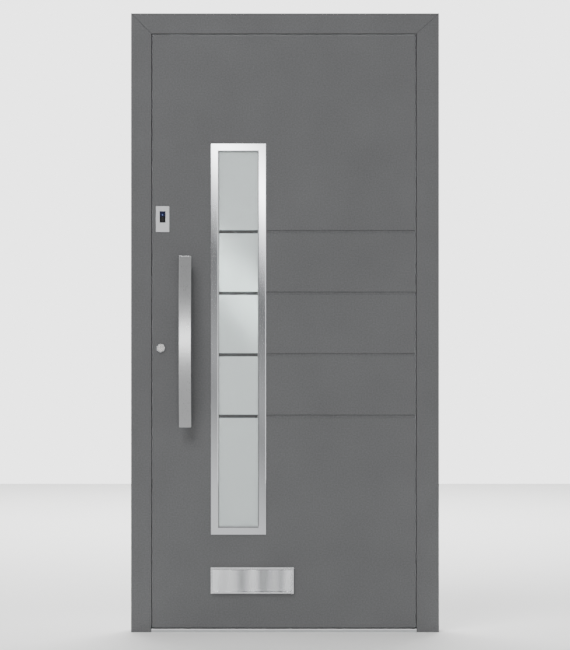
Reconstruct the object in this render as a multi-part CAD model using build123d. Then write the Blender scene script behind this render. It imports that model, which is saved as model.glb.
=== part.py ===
from build123d import *
import math
import os

# Flush aluminium entrance door with its frame, opening inwards, in millimetres.
# The outside faces -Y, up is +Z, the lock side is at -X and the hinge side at +X.
# The origin is the middle of the threshold's underside, at half the frame's depth.

# Frame
FRAME_WIDTH = 1100.0
FRAME_HEIGHT = 2210.0
FRAME_DEPTH = 80.0
FACE_LOCK = 73.0
FACE_HINGE = 80.0
FACE_HEAD = 73.0
REBATE = 22.0
OUTER_SHELL = 26.0
INNER_SHELL = 28.0
WALL = 2.0
STRIP = 2.0
STRIP_INSET = 4.0
BOLT_GROOVE = 24.0
HINGE_GROOVE = 10.0
CLEAT_LEG = 85.0
CLEAT_FIT = 0.4
FRAME_EDGE = 1.0
FIXING_HOLE = 8.0
FIXING_COUNT = 4
FIXING_FOOT = 250.0
FIXING_HEAD = 260.0

# Gaps between leaf and frame
VISIBLE_GAP = 5.0
REBATE_GAP = 6.0
STEP_GAP = 4.0
SILL_GAP = 4.0
SEAT_GAP = 0.3

# Threshold and seals
THRESHOLD_BASE = 8.0
THRESHOLD_CAP = 4.0
CAP_GROOVE = 1.0
CAP_GROOVE_WIDTH = 3.0
CAP_GROOVE_PITCH = 9.0
CAP_GROOVE_START = 4.0
GASKET_WIDTH = 10.0
GASKET_INSET = 3.0
GASKET_FOOT = 1.4
GASKET_BULB = 5.0
SEAL_FOOT = 6.0
SEAL_BLADE = 6.0
SEAL_BLADE_TIP = 2.0

# Leaf
OUTER_SHEET = 5.0
INNER_SHEET = 4.0
STILE = 72.0
LIP = 2.0
LEAF_EDGE = 1.0
GROOVE_COUNT = 4
GROOVE_FIRST = 423.0
GROOVE_PITCH = 219.7
GROOVE_WIDTH = 12.0
GROOVE_FLOOR = 6.0
GROOVE_DEPTH = 3.0

# Glass light
WINDOW_INSET = 207.0
WINDOW_WIDTH = 196.5
WINDOW_SILL = 348.0
WINDOW_HEAD = 387.0
TRIM_FACE = 26.0
TRIM_THICK = 3.0
TRIM_LAP = 10.0
TRIM_BEVEL = 1.2
PANE_FIT = 2.0
GLAZING_SETBACK = 6.0
PANE_OUTER = 6.0
PANE_MIDDLE = 4.0
PANE_INNER = 6.0
PANE_SPACE = 14.0
SPACER = 12.0
GLAZING_GASKET = 1.5
GASKET_SIGHT = 2.5
GLASS_LINE = 10.0
GLASS_LINE_DEPTH = 1.2

# Pull bar
PULL_INSET = 117.0
PULL_MIDDLE = 1038.0
PULL_LENGTH = 610.0
PULL_WIDTH = 43.0
PULL_THICK = 9.0
PULL_END_GAP = 36.0
PULL_RISE = 30.0
PULL_EDGE = 1.0
POST_SPACING = 470.0
POST_RADIUS = 10.0
POST_FIT = 0.05
STUD_RADIUS = 4.0
STUD_FIT = 0.05
STUD_REACH = 18.0
STUD_HEAD = 9.0
STUD_HEAD_THICK = 4.0

# Fingerprint reader
READER_INSET = 35.0
READER_Z = 1475.0
READER_WIDTH = 47.5
READER_HEIGHT = 92.0
READER_PLATE = 2.5
READER_CORNER = 2.0
SENSOR_WIDTH = 21.0
SENSOR_HEIGHT = 41.0
SENSOR_OFFSET = 8.0
SENSOR_FIT = 0.2
SENSOR_RECESS = 0.6
FINGER_RADIUS = 7.0
FINGER_DEPTH = 1.6
FINGER_MARGIN = 3.0
MODULE_WIDTH = 34.0
MODULE_HEIGHT = 74.0
MODULE_DEPTH = 18.0

# Lock
BACKSET = 50.0
CYLINDER_Z = 1015.0
LEVER_RISE = 92.0
FACEPLATE = 3.0
FACEPLATE_FOOT = 200.0
FACEPLATE_HEAD = 172.0
LOCK_AXIS_Y = 2.0
CASE_DEPTH = 67.0
CASE_THICK = 15.0
CASE_WALL = 1.5
CASE_CLEAR = 1.0
CASE_FOOT = 940.0
CASE_TOP = 1190.0
BOLT_THICK = 10.0
BOLT_FIT = 0.3
LATCH_Z = 1150.0
LATCH_HEIGHT = 30.0
LATCH_OUT = 12.0
LATCH_NOSE = 3.0
LATCH_BACK = 10.0
LATCH_TAIL = 14.0
LATCH_FINGER = 5.0
LATCH_FINGER_RISE = 3.0
FINGER_LEAD = 0.4
DEADBOLT_Z = 1052.0
DEADBOLT_HEIGHT = 32.0
DEADBOLT_LENGTH = 36.0
FOLLOWER_RADIUS = 12.0
FOLLOWER_HUB = 9.0
FOLLOWER_ARM = 20.0
FOLLOWER_ARM_WIDTH = 8.0
FOLLOWER_TILT = 20.0
SPINDLE = 8.0
SPINDLE_FIT = 0.05

# Swing hooks
HOOK_FOOT = 340.0
HOOK_HEAD = 372.0
HOOK_PIVOT = 23.0
HOOK_REACH = 43.0
HOOK_CLAW = 9.0
HOOK_CLAW_ANGLE = 25.0
HOOK_NECK = 16.0
HOOK_HUB = 9.0
HOOK_THICK = 8.0
HOOK_PIN = 3.0
HOOK_PIN_FIT = 0.05
HOOK_CASE_DEPTH = 45.0
HOOK_CASE_THICK = 13.0
HOOK_CASE_BELOW = 55.0
HOOK_CASE_ABOVE = 75.0
HOOK_SLOT_BELOW = 10.0
HOOK_SLOT_ABOVE = 40.0
ROD_THICK = 3.0
ROD_WIDTH = 10.0
ROD_SETBACK = 1.8
ROD_FIT = 0.3
ROD_CASE_ENTRY = 25.0
ROD_HOOK_CLEAR_BELOW = 45.0
ROD_HOOK_CLEAR_ABOVE = 50.0

# Cylinder
CYLINDER_RADIUS = 13.0
CYLINDER_FIT = 0.05
CYLINDER_NOSE = 6.5
CYLINDER_TAIL = 10.0
ROSE_RADIUS = 16.0
ROSE_THICK = 6.0
ROSE_EDGE = 1.5
PLUG_RADIUS = 6.0
PLUG_FIT = 0.05
KEYWAY_WIDTH = 1.8
KEYWAY_HEIGHT = 8.5
KEYWAY_DEPTH = 24.0
CAM_RADIUS = 15.0
CAM_WIDTH = 8.0
CAM_THICK = 6.0
CAM_COLLAR = 2.0
TURN_LENGTH = 18.0
TURN_WIDTH = 34.0
TURN_THICK = 9.0
TURN_COLLAR = 9.5
TURN_COLLAR_LENGTH = 4.0
TURN_EDGE = 4.0

# Lever and its plate
PLATE_WIDTH = 34.0
PLATE_HEIGHT = 190.0
PLATE_THICK = 8.0
PLATE_RADIUS = 8.0
PLATE_DROP = 42.0
PLATE_EDGE = 1.5
LEVER_REACH = 130.0
LEVER_STAND = 38.0
LEVER_RETURN = 22.0
LEVER_RADIUS = 9.5
LEVER_BEARING = 0.1

# Strike plates
STRIKE_THICK = 2.5
STRIKE_REACH = 18.0
STRIKE_FOOT = 1012.0
STRIKE_TOP = 1188.0
STRIKE_MARGIN = 22.0
STRIKE_CLEAR = 2.5

# Letter plate
LETTER_WIDTH = 296.0
LETTER_FOOT = 138.5
LETTER_HEIGHT = 93.5
LETTER_BASE = 2.0
LETTER_RIB = 6.0
LETTER_RIB_DEPTH = 7.5
SLOT_WIDTH = 246.0
SLOT_HEIGHT = 40.0
SLEEVE_WALL = 1.5
SLEEVE_FIT = 0.5
FLAP_FIT = 0.6
FLAP_THICK = 2.0
FLAP_KNUCKLE = 2.4
FLAP_PIN = 1.5
FLAP_PIN_LENGTH = 3.0
FLAP_PIN_FIT = 0.05
FLAP_DROP = 10.5
FLAP_FOOT_GAP = 5.0
FLAP_LIP = 5.0

# Hinges
HINGE_FOOT = 230.0
HINGE_HEAD = 260.0
HINGE_BARREL = 11.0
HINGE_STAND = 14.0
HINGE_OFFSET = 3.0
HINGE_HEIGHT = 126.0
HINGE_MIDDLE = 46.0
HINGE_RUNNING = 0.6
HINGE_FLANGE = 5.5
HINGE_FLANGE_WIDTH = 40.0
HINGE_FLANGE_CLEAR = 13.0
HINGE_LEAF_CLEAR = 1.5
HINGE_WEB_LAP = 1.0
HINGE_PIN = 5.0
HINGE_PIN_FIT = 0.05
HINGE_CORNER = 5.0

# How far a cutting solid runs past the face that it cuts
PAST = 1.0

# Faces and edges worked out from the sizes above
FRONT = -FRAME_DEPTH / 2
BACK = FRAME_DEPTH / 2
SIDE_LOCK = -FRAME_WIDTH / 2
SIDE_HINGE = FRAME_WIDTH / 2
STEP_Y = FRONT + OUTER_SHELL
INNER_Y = BACK - INNER_SHELL
LIP_FRONT = STEP_Y + STEP_GAP
LIP_BACK = LIP_FRONT + LIP
THRESHOLD = THRESHOLD_BASE + THRESHOLD_CAP
SHEET_BACK = FRONT + OUTER_SHEET
INNER_FACE = BACK - INNER_SHEET

# Rectangles seen from outside, as left, right, bottom and top
FRAME_RECT = (SIDE_LOCK, SIDE_HINGE, 0.0, FRAME_HEIGHT)
SIGHT_RECT = (SIDE_LOCK + FACE_LOCK, SIDE_HINGE - FACE_HINGE, 0.0, FRAME_HEIGHT - FACE_HEAD)
LEAF_SILL = THRESHOLD + SILL_GAP


def grown(rect, left, right, bottom, top):
    """A rectangle with each side moved outwards by its own amount."""
    return (rect[0] - left, rect[1] + right, rect[2] - bottom, rect[3] + top)


REBATE_RECT = grown(SIGHT_RECT, REBATE, REBATE, 0.0, REBATE)
LEAF_RECT = grown(SIGHT_RECT, -VISIBLE_GAP, -VISIBLE_GAP, -LEAF_SILL, -VISIBLE_GAP)
WING_RECT = grown(REBATE_RECT, -REBATE_GAP, -REBATE_GAP, -LEAF_SILL, -REBATE_GAP)


def inset(rect, amount):
    """A rectangle with all four sides moved inwards."""
    return grown(rect, -amount, -amount, -amount, -amount)


CORE_RECT = inset(LEAF_RECT, STILE)

WINDOW_LEFT = LEAF_RECT[0] + WINDOW_INSET
TRIM_RECT = (WINDOW_LEFT, WINDOW_LEFT + WINDOW_WIDTH, WINDOW_SILL, LEAF_RECT[3] - WINDOW_HEAD)
LIGHT_RECT = inset(TRIM_RECT, TRIM_FACE)
HOLE_RECT = inset(TRIM_RECT, TRIM_LAP)
PANE_RECT = inset(HOLE_RECT, PANE_FIT)
groove_heights = [WINDOW_SILL + GROOVE_FIRST + GROOVE_PITCH * count for count in range(GROOVE_COUNT)]

WING_LOCK = WING_RECT[0]
CASE_FRONT = WING_LOCK + FACEPLATE
CASE_REAR = CASE_FRONT + CASE_DEPTH
LOCK_X = WING_LOCK + BACKSET
LEVER_Z = CYLINDER_Z + LEVER_RISE
CASE_RECT = (CASE_FRONT, CASE_REAR, CASE_FOOT, CASE_TOP)

LETTER_RECT = (WINDOW_LEFT, WINDOW_LEFT + LETTER_WIDTH, LETTER_FOOT, LETTER_FOOT + LETTER_HEIGHT)
SLOT_X = WINDOW_LEFT + LETTER_WIDTH / 2
SLOT_Z = LETTER_FOOT + LETTER_HEIGHT / 2
SLOT_RECT = (
    SLOT_X - SLOT_WIDTH / 2,
    SLOT_X + SLOT_WIDTH / 2,
    SLOT_Z - SLOT_HEIGHT / 2,
    SLOT_Z + SLOT_HEIGHT / 2,
)
SLEEVE_RECT = inset(SLOT_RECT, -SLEEVE_WALL)
DUCT_RECT = inset(SLEEVE_RECT, -SLEEVE_FIT)

PULL_X = LEAF_RECT[0] + PULL_INSET
READER_X = LEAF_RECT[0] + READER_INSET
HOOK_HEIGHTS = (HOOK_FOOT, LEAF_RECT[3] - HOOK_HEAD)
FACEPLATE_TOP = LEAF_RECT[3] - FACEPLATE_HEAD

HINGE_X = WING_RECT[1] + HINGE_OFFSET
HINGE_Y = BACK + HINGE_STAND
HINGE_HEIGHTS = (HINGE_FOOT, FRAME_HEIGHT / 2, FRAME_HEIGHT - HINGE_HEAD)


# Basic solids
def block(x, y, z):
    """A box between two values along each axis."""
    centre = Pos((x[0] + x[1]) / 2, (y[0] + y[1]) / 2, (z[0] + z[1]) / 2)
    return centre * Box(abs(x[1] - x[0]), abs(y[1] - y[0]), abs(z[1] - z[0]))


def slab(rect, y):
    """A box over a rectangle of the front view."""
    return block((rect[0], rect[1]), y, (rect[2], rect[3]))


def ring(outer, inner, y):
    """A rectangular ring in the front view."""
    return slab(outer, y) - slab(inner, (y[0] - PAST, y[1] + PAST))


def prism(points, y):
    """A front-view outline given a depth from y[0] to y[1]."""
    face = Plane.XZ.offset(-y[0]) * make_face(Polyline(*points, close=True))
    return extrude(face, amount=y[1] - y[0], dir=(0, 1, 0))


def bar_x(x, outline):
    """A side-view outline of (y, z) points drawn out along X."""
    face = Plane.YZ.offset(x[0]) * make_face(Polyline(*outline, close=True))
    return extrude(face, amount=x[1] - x[0], dir=(1, 0, 0))


def round_bar(axis, start, radius, length):
    """A cylinder from a start point along +axis."""
    return Plane(origin=start, z_dir=axis) * Pos(0, 0, length / 2) * Cylinder(radius, length)


def shaft_y(x, z, radius, y):
    """A cylinder along Y."""
    return round_bar((0, 1, 0), (x, y[0], z), radius, y[1] - y[0])


def save(name, *solids):
    """Writes one node, as one solid or a group of separate ones."""
    shape = solids[0] if len(solids) == 1 else Compound(children=list(solids))
    export_step(shape, f"parts/{name}.step")


def mitred_tubes(outer, inner, y, webs=0, edge=0.0):
    """Hollow bars round a rectangle, mitred at its corners, with their front edges broken."""
    left, right, bottom, top = outer
    in_left, in_right, in_bottom, in_top = inner
    outlines = {
        "lock": [(left, bottom), (left, top), (in_left, in_top), (in_left, in_bottom)],
        "hinge": [(right, bottom), (right, top), (in_right, in_top), (in_right, in_bottom)],
        "head": [(left, top), (right, top), (in_right, in_top), (in_left, in_top)],
        "sill": [(left, bottom), (right, bottom), (in_right, in_bottom), (in_left, in_bottom)],
    }
    spans = {
        "lock": (left, in_left),
        "hinge": (in_right, right),
        "head": (in_top, top),
        "sill": (bottom, in_bottom),
    }
    hollow_y = (y[0] + WALL, y[1] - WALL)
    bars = {}
    for side, outline in outlines.items():
        low, high = spans[side]
        if low == high:
            continue
        bar = prism(outline, y)
        if edge:
            bar = chamfer(bar.faces().sort_by(Axis.Y)[0].edges(), edge)
        chamber = (high - low - WALL * (webs + 2)) / (webs + 1)
        for count in range(webs + 1):
            start = low + WALL + count * (chamber + WALL)
            span = (start, start + chamber)
            if side in ("lock", "hinge"):
                bar -= block(span, hollow_y, (bottom - PAST, top + PAST))
            else:
                bar -= block((left - PAST, right + PAST), hollow_y, span)
        bars[side] = bar
    return bars


def strips(rect, y, sides=4):
    """Flat strips standing round a rectangle, butted at the corners."""
    left, right, bottom, top = rect
    found = [
        block((left - STRIP, left), y, (bottom, top)),
        block((right, right + STRIP), y, (bottom, top)),
        block((left - STRIP, right + STRIP), y, (top, top + STRIP)),
    ]
    if sides == 4:
        found.append(block((left - STRIP, right + STRIP), y, (bottom - STRIP, bottom)))
    return found


# Spans of the strike plates and of the bolt openings in them
bolt_y = (LOCK_AXIS_Y - BOLT_THICK / 2, LOCK_AXIS_Y + BOLT_THICK / 2)
latch_z = (LATCH_Z - LATCH_HEIGHT / 2, LATCH_Z + LATCH_HEIGHT / 2)
deadbolt_z = (DEADBOLT_Z - DEADBOLT_HEIGHT / 2, DEADBOLT_Z + DEADBOLT_HEIGHT / 2)
hook_z = [(z - HOOK_SLOT_BELOW, z + HOOK_SLOT_ABOVE) for z in HOOK_HEIGHTS]
STRIKE_FACE = REBATE_RECT[0] + STRIKE_THICK
FRAME_FLANGE = (HINGE_X + HINGE_FLANGE_CLEAR, HINGE_X + HINGE_FLANGE_CLEAR + HINGE_FLANGE_WIDTH)
LEAF_FLANGE = (
    HINGE_X - HINGE_FLANGE_CLEAR - HINGE_FLANGE_WIDTH,
    HINGE_X - HINGE_BARREL - HINGE_LEAF_CLEAR,
)
PLATE_FOOT = CYLINDER_Z - PLATE_DROP


def widened(span, amount):
    """A span with both of its ends moved outwards."""
    return (span[0] - amount, span[1] + amount)


# Frame shells, thermal strips and corner cleats
outer_bars = mitred_tubes(FRAME_RECT, SIGHT_RECT, (FRONT, STEP_Y), webs=1, edge=FRAME_EDGE)
inner_bars = mitred_tubes(FRAME_RECT, REBATE_RECT, (INNER_Y, BACK))
fixing_y = (INNER_Y + BACK) / 2
fixing_pitch = (FRAME_HEIGHT - FIXING_FOOT - FIXING_HEAD) / (FIXING_COUNT - 1)
jamb_spans = {"lock": (SIDE_LOCK, REBATE_RECT[0]), "hinge": (REBATE_RECT[1], SIDE_HINGE)}
for side, span in jamb_spans.items():
    start, end = widened(span, PAST)
    for count in range(FIXING_COUNT):
        place = (start, fixing_y, FIXING_FOOT + fixing_pitch * count)
        inner_bars[side] -= round_bar((1, 0, 0), place, FIXING_HOLE / 2, end - start)

NAMES = {"lock": "lock_jamb", "hinge": "hinge_jamb", "head": "frame_head"}
for side, name in NAMES.items():
    save(name + "_outer", outer_bars[side])
    save(name + "_inner", inner_bars[side])

break_y = (STEP_Y, INNER_Y)
wall_strip_rect = grown(FRAME_RECT, -STRIP_INSET, -STRIP_INSET, 0, -STRIP_INSET)
rebate_strip_rect = (
    REBATE_RECT[0] - BOLT_GROOVE,
    REBATE_RECT[1] + HINGE_GROOVE,
    0.0,
    REBATE_RECT[3] + HINGE_GROOVE,
)
save(
    "frame_thermal_strips",
    *strips(wall_strip_rect, break_y, sides=3),
    *strips(rebate_strip_rect, break_y, sides=3),
)


def cleat(corner_x, corner_z, inward, width, rise, y):
    """An L-shaped cleat that fills the chamber of two bars at a mitred corner."""
    wall = WALL + CLEAT_FIT
    x0 = corner_x + inward * wall
    x1 = corner_x + inward * (width - wall)
    x2 = corner_x + inward * (width + CLEAT_LEG)
    z0 = corner_z - wall
    z1 = corner_z - rise + wall
    z2 = corner_z - rise - CLEAT_LEG
    outline = [(x0, z0), (x2, z0), (x2, z1), (x1, z1), (x1, z2), (x0, z2)]
    return prism(outline, (y[0] + wall, y[1] - wall))


head_half = (FACE_HEAD + WALL) / 2
cleats = []
for corner_x, inward, face in ((SIDE_LOCK, 1, FACE_LOCK), (SIDE_HINGE, -1, FACE_HINGE)):
    half = (face + WALL) / 2
    cleats.append(cleat(corner_x, FRAME_HEIGHT, inward, half, head_half, (FRONT, STEP_Y)))
    rebated = (face - REBATE, FACE_HEAD - REBATE)
    cleats.append(cleat(corner_x, FRAME_HEIGHT, inward, *rebated, (INNER_Y, BACK)))
save("frame_corner_cleats", *cleats)

# Threshold: a plastic base and an aluminium cap with grooves along it
plan = [
    (SIGHT_RECT[0], FRONT),
    (SIGHT_RECT[1], FRONT),
    (SIGHT_RECT[1], STEP_Y),
    (REBATE_RECT[1], STEP_Y),
    (REBATE_RECT[1], BACK),
    (REBATE_RECT[0], BACK),
    (REBATE_RECT[0], STEP_Y),
    (SIGHT_RECT[0], STEP_Y),
]
plan_face = make_face(Polyline(*plan, close=True))
threshold_base = extrude(plan_face, amount=THRESHOLD_BASE)
threshold_cap = extrude(Pos(0, 0, THRESHOLD_BASE) * plan_face, amount=THRESHOLD_CAP)
groove_y = INNER_Y + CAP_GROOVE_START
while groove_y < BACK - CAP_GROOVE_START:
    groove_span = (groove_y, groove_y + CAP_GROOVE_WIDTH)
    groove_floor = (THRESHOLD - CAP_GROOVE, THRESHOLD + PAST)
    threshold_cap -= block((SIDE_LOCK, SIDE_HINGE), groove_span, groove_floor)
    groove_y += CAP_GROOVE_PITCH
save("threshold_base", threshold_base)
save("threshold_cap", threshold_cap)


# Stop gasket on the frame's step: a flat foot and a bulb that meets the leaf
def three_sided(rect, amount):
    """A rectangle with all sides but its foot moved inwards."""
    return grown(rect, -amount, -amount, 0, -amount)


foot_outer = three_sided(REBATE_RECT, REBATE_GAP + GASKET_INSET)
foot_inner = three_sided(foot_outer, GASKET_WIDTH)
bulb_outer = three_sided(foot_outer, (GASKET_WIDTH - GASKET_BULB) / 2)
bulb_inner = three_sided(bulb_outer, GASKET_BULB)
gasket = ring(foot_outer, foot_inner, (STEP_Y, STEP_Y + GASKET_FOOT))
gasket += ring(bulb_outer, bulb_inner, (STEP_Y, LIP_FRONT - SEAT_GAP))
above_threshold = block((SIDE_LOCK, SIDE_HINGE), (FRONT, BACK), (THRESHOLD, FRAME_HEIGHT))
save("frame_gasket", gasket & above_threshold)

# Strike plates on the lock jamb, with an opening for each bolt
strike_openings = {
    "strike_main": [widened(latch_z, STRIKE_CLEAR), widened(deadbolt_z, STRIKE_CLEAR)],
    "strike_lower": [hook_z[0]],
    "strike_upper": [hook_z[1]],
}
strike_spans = {
    "strike_main": (STRIKE_FOOT, STRIKE_TOP),
    "strike_lower": widened(hook_z[0], STRIKE_MARGIN),
    "strike_upper": widened(hook_z[1], STRIKE_MARGIN),
}
strike_x = (REBATE_RECT[0], STRIKE_FACE)
for name, span in strike_spans.items():
    strike = block(strike_x, (STEP_Y, INNER_Y + STRIKE_REACH), span)
    for opening in strike_openings[name]:
        strike -= block(widened(strike_x, PAST), widened(bolt_y, STRIKE_CLEAR), opening)
    save(name, strike)


# Three-part barrel hinges
def hinge_part(z, spans, flange, attach):
    """Knuckles on one flange, bored for the pin. Spans are heights from the middle."""
    low, high = z - HINGE_HEIGHT / 2, z + HINGE_HEIGHT / 2
    part = block(flange, (BACK, BACK + HINGE_FLANGE), (low, high))
    part = chamfer(part.edges().filter_by(Axis.Y), HINGE_CORNER)
    web_y = (BACK + HINGE_WEB_LAP, BACK + HINGE_FLANGE + HINGE_WEB_LAP)
    for start, end in spans:
        web = block(attach, web_y, (z + start, z + end))
        knuckle = round_bar((0, 0, 1), (HINGE_X, HINGE_Y, z + start), HINGE_BARREL, end - start)
        part += web + knuckle
    bore_foot = (HINGE_X, HINGE_Y, low - PAST)
    return part - round_bar((0, 0, 1), bore_foot, HINGE_PIN + HINGE_PIN_FIT, HINGE_HEIGHT + 2 * PAST)


side_knuckles = [
    (-HINGE_HEIGHT / 2, -HINGE_MIDDLE / 2 - HINGE_RUNNING),
    (HINGE_MIDDLE / 2 + HINGE_RUNNING, HINGE_HEIGHT / 2),
]
middle_knuckle = [(-HINGE_MIDDLE / 2, HINGE_MIDDLE / 2)]
frame_web = (HINGE_X, FRAME_FLANGE[0] + HINGE_WEB_LAP)
leaf_web = (LEAF_FLANGE[1] - HINGE_WEB_LAP, HINGE_X)
pin_feet = [(HINGE_X, HINGE_Y, z - HINGE_HEIGHT / 2) for z in HINGE_HEIGHTS]
save("hinge_frame_parts", *[hinge_part(z, side_knuckles, FRAME_FLANGE, frame_web) for z in HINGE_HEIGHTS])
save("hinge_leaf_parts", *[hinge_part(z, middle_knuckle, LEAF_FLANGE, leaf_web) for z in HINGE_HEIGHTS])
save("hinge_pins", *[round_bar((0, 0, 1), foot, HINGE_PIN, HINGE_HEIGHT) for foot in pin_feet])

# Holes that pass the leaf
through = (FRONT - PAST, BACK + PAST)
cylinder_hole = shaft_y(LOCK_X, CYLINDER_Z, CYLINDER_RADIUS + CYLINDER_FIT, through)
spindle_hole = shaft_y(LOCK_X, LEVER_Z, FOLLOWER_HUB, (LOCK_AXIS_Y, BACK + PAST))
POST_HEIGHTS = (PULL_MIDDLE - POST_SPACING / 2, PULL_MIDDLE + POST_SPACING / 2)
stud_holes = [shaft_y(PULL_X, z, STUD_RADIUS + STUD_FIT, through) for z in POST_HEIGHTS]
module_rect = (
    READER_X - MODULE_WIDTH / 2,
    READER_X + MODULE_WIDTH / 2,
    READER_Z - MODULE_HEIGHT / 2,
    READER_Z + MODULE_HEIGHT / 2,
)
module_hole = slab(
    inset(module_rect, -SENSOR_FIT),
    (FRONT - PAST, FRONT + MODULE_DEPTH + SENSOR_FIT),
)
window_hole = slab(HOLE_RECT, through)
duct_hole = slab(DUCT_RECT, through)

# Leaf sheets and core
outer_sheet = slab(LEAF_RECT, (FRONT, SHEET_BACK))
outer_sheet = chamfer(outer_sheet.faces().sort_by(Axis.Y)[0].edges(), LEAF_EDGE)
for hole in [cylinder_hole, module_hole, window_hole, duct_hole] + stud_holes:
    outer_sheet -= hole
for z in groove_heights:
    outline = [
        (FRONT - PAST, z - GROOVE_WIDTH / 2),
        (FRONT, z - GROOVE_WIDTH / 2),
        (FRONT + GROOVE_DEPTH, z - GROOVE_FLOOR / 2),
        (FRONT + GROOVE_DEPTH, z + GROOVE_FLOOR / 2),
        (FRONT, z + GROOVE_WIDTH / 2),
        (FRONT - PAST, z + GROOVE_WIDTH / 2),
    ]
    outer_sheet -= bar_x((HOLE_RECT[1], LEAF_RECT[1] + PAST), outline)
save("leaf_outer_sheet", outer_sheet)

inner_sheet = slab(WING_RECT, (INNER_FACE, BACK))
for hole in [cylinder_hole, spindle_hole, window_hole, duct_hole] + stud_holes:
    inner_sheet -= hole
save("leaf_inner_sheet", inner_sheet)

core = slab(CORE_RECT, (SHEET_BACK, INNER_FACE))
for hole in [window_hole, duct_hole] + stud_holes:
    core -= hole
save("leaf_core", core)

# Leaf stiles and rails: an outer shell with its stop lip and an inner shell
leaf_outer_bars = mitred_tubes(LEAF_RECT, CORE_RECT, (SHEET_BACK, LIP_BACK), webs=1)
leaf_inner_bars = mitred_tubes(WING_RECT, CORE_RECT, (INNER_Y, INNER_FACE), webs=1)
wing_left, wing_right, wing_foot, wing_top = WING_RECT
leaf_left, leaf_right, leaf_foot, leaf_top = LEAF_RECT
lips = {
    "lock": [
        (wing_left, wing_foot),
        (wing_left, wing_top),
        (leaf_left, leaf_top),
        (leaf_left, leaf_foot),
    ],
    "hinge": [
        (wing_right, wing_foot),
        (wing_right, wing_top),
        (leaf_right, leaf_top),
        (leaf_right, leaf_foot),
    ],
    "head": [
        (wing_left, wing_top),
        (wing_right, wing_top),
        (leaf_right, leaf_top),
        (leaf_left, leaf_top),
    ],
}
for side, outline in lips.items():
    leaf_outer_bars[side] += prism(outline, (LIP_FRONT, LIP_BACK))
for hole in (cylinder_hole, module_hole):
    leaf_outer_bars["lock"] -= hole
for hole in (cylinder_hole, spindle_hole):
    leaf_inner_bars["lock"] -= hole
LEAF_NAMES = {
    "lock": "leaf_lock_stile",
    "hinge": "leaf_hinge_stile",
    "head": "leaf_head_rail",
    "sill": "leaf_sill_rail",
}
for side, name in LEAF_NAMES.items():
    save(name, leaf_outer_bars[side], leaf_inner_bars[side])

leaf_break_y = (LIP_BACK, INNER_Y)
edge_rect = (
    CASE_REAR + CASE_CLEAR + STRIP,
    LEAF_RECT[1] - STRIP_INSET - STRIP,
    LEAF_SILL + SEAL_FOOT + STRIP,
    LEAF_RECT[3] - STRIP_INSET - STRIP,
)
save("leaf_thermal_strips", *strips(edge_rect, leaf_break_y), *strips(CORE_RECT, leaf_break_y))

# Sill seal: a foot between the shells of the sill rail and a blade down to the threshold
blade_y = (leaf_break_y[0] + leaf_break_y[1]) / 2
blade_foot = THRESHOLD + SEAT_GAP
seal_outline = [
    (leaf_break_y[0], LEAF_SILL),
    (leaf_break_y[0], LEAF_SILL + SEAL_FOOT),
    (leaf_break_y[1], LEAF_SILL + SEAL_FOOT),
    (leaf_break_y[1], LEAF_SILL),
    (blade_y + SEAL_BLADE / 2, LEAF_SILL),
    (blade_y + SEAL_BLADE_TIP / 2, blade_foot),
    (blade_y - SEAL_BLADE_TIP / 2, blade_foot),
    (blade_y - SEAL_BLADE / 2, LEAF_SILL),
]
save("sill_seal", bar_x((WING_RECT[0] + FACEPLATE, WING_RECT[1] - FACEPLATE), seal_outline))

# Glass light: three panes, two spacers, gaskets, outer trim and inner bead
pane_y = FRONT + GLAZING_SETBACK
pane_ys = {}
for name, thick in (
    ("pane_outer", PANE_OUTER),
    ("pane_middle", PANE_MIDDLE),
    ("pane_inner", PANE_INNER),
):
    pane_ys[name] = (pane_y, pane_y + thick)
    pane_y += thick + PANE_SPACE
panes = {name: slab(PANE_RECT, span) for name, span in pane_ys.items()}
line_y = (pane_ys["pane_outer"][0] - PAST, pane_ys["pane_outer"][0] + GLASS_LINE_DEPTH)
for z in groove_heights:
    line_z = (z - GLASS_LINE / 2, z + GLASS_LINE / 2)
    panes["pane_outer"] -= block(widened(PANE_RECT[:2], PAST), line_y, line_z)
for name, pane in panes.items():
    save(name, pane)
spacer_inner = inset(PANE_RECT, SPACER)
save(
    "pane_spacers",
    ring(PANE_RECT, spacer_inner, (pane_ys["pane_outer"][1], pane_ys["pane_middle"][0])),
    ring(PANE_RECT, spacer_inner, (pane_ys["pane_middle"][1], pane_ys["pane_inner"][0])),
)
gasket_inner = inset(LIGHT_RECT, GASKET_SIGHT)
outer_gasket_y = (pane_ys["pane_outer"][0] - GLAZING_GASKET, pane_ys["pane_outer"][0])
inner_gasket_y = (pane_ys["pane_inner"][1], pane_ys["pane_inner"][1] + GLAZING_GASKET)
save(
    "glazing_gaskets",
    ring(PANE_RECT, gasket_inner, outer_gasket_y),
    ring(PANE_RECT, gasket_inner, inner_gasket_y),
)


def window_trim(face_y, seat_y, deep_y):
    """A flat frame over the sheet with a return into the hole, bevelled at its face."""
    face = ring(TRIM_RECT, LIGHT_RECT, sorted((face_y, seat_y)))
    faces = face.faces().sort_by(Axis.Y)
    front = faces[0] if face_y < seat_y else faces[-1]
    face = chamfer(front.edges(), TRIM_BEVEL)
    return face + ring(PANE_RECT, LIGHT_RECT, sorted((seat_y, deep_y)))


save("window_trim_outer", window_trim(FRONT - TRIM_THICK, FRONT, outer_gasket_y[0]))
save("window_trim_inner", window_trim(BACK + TRIM_THICK, BACK, inner_gasket_y[1]))

# Pull bar: a flat bar bowed away from the leaf, on two posts with studs through the leaf
half = PULL_LENGTH / 2
bow_radius = (half**2 + PULL_RISE**2) / (2 * PULL_RISE)
bow_axis = FRONT - PULL_END_GAP - PULL_RISE + bow_radius


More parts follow.
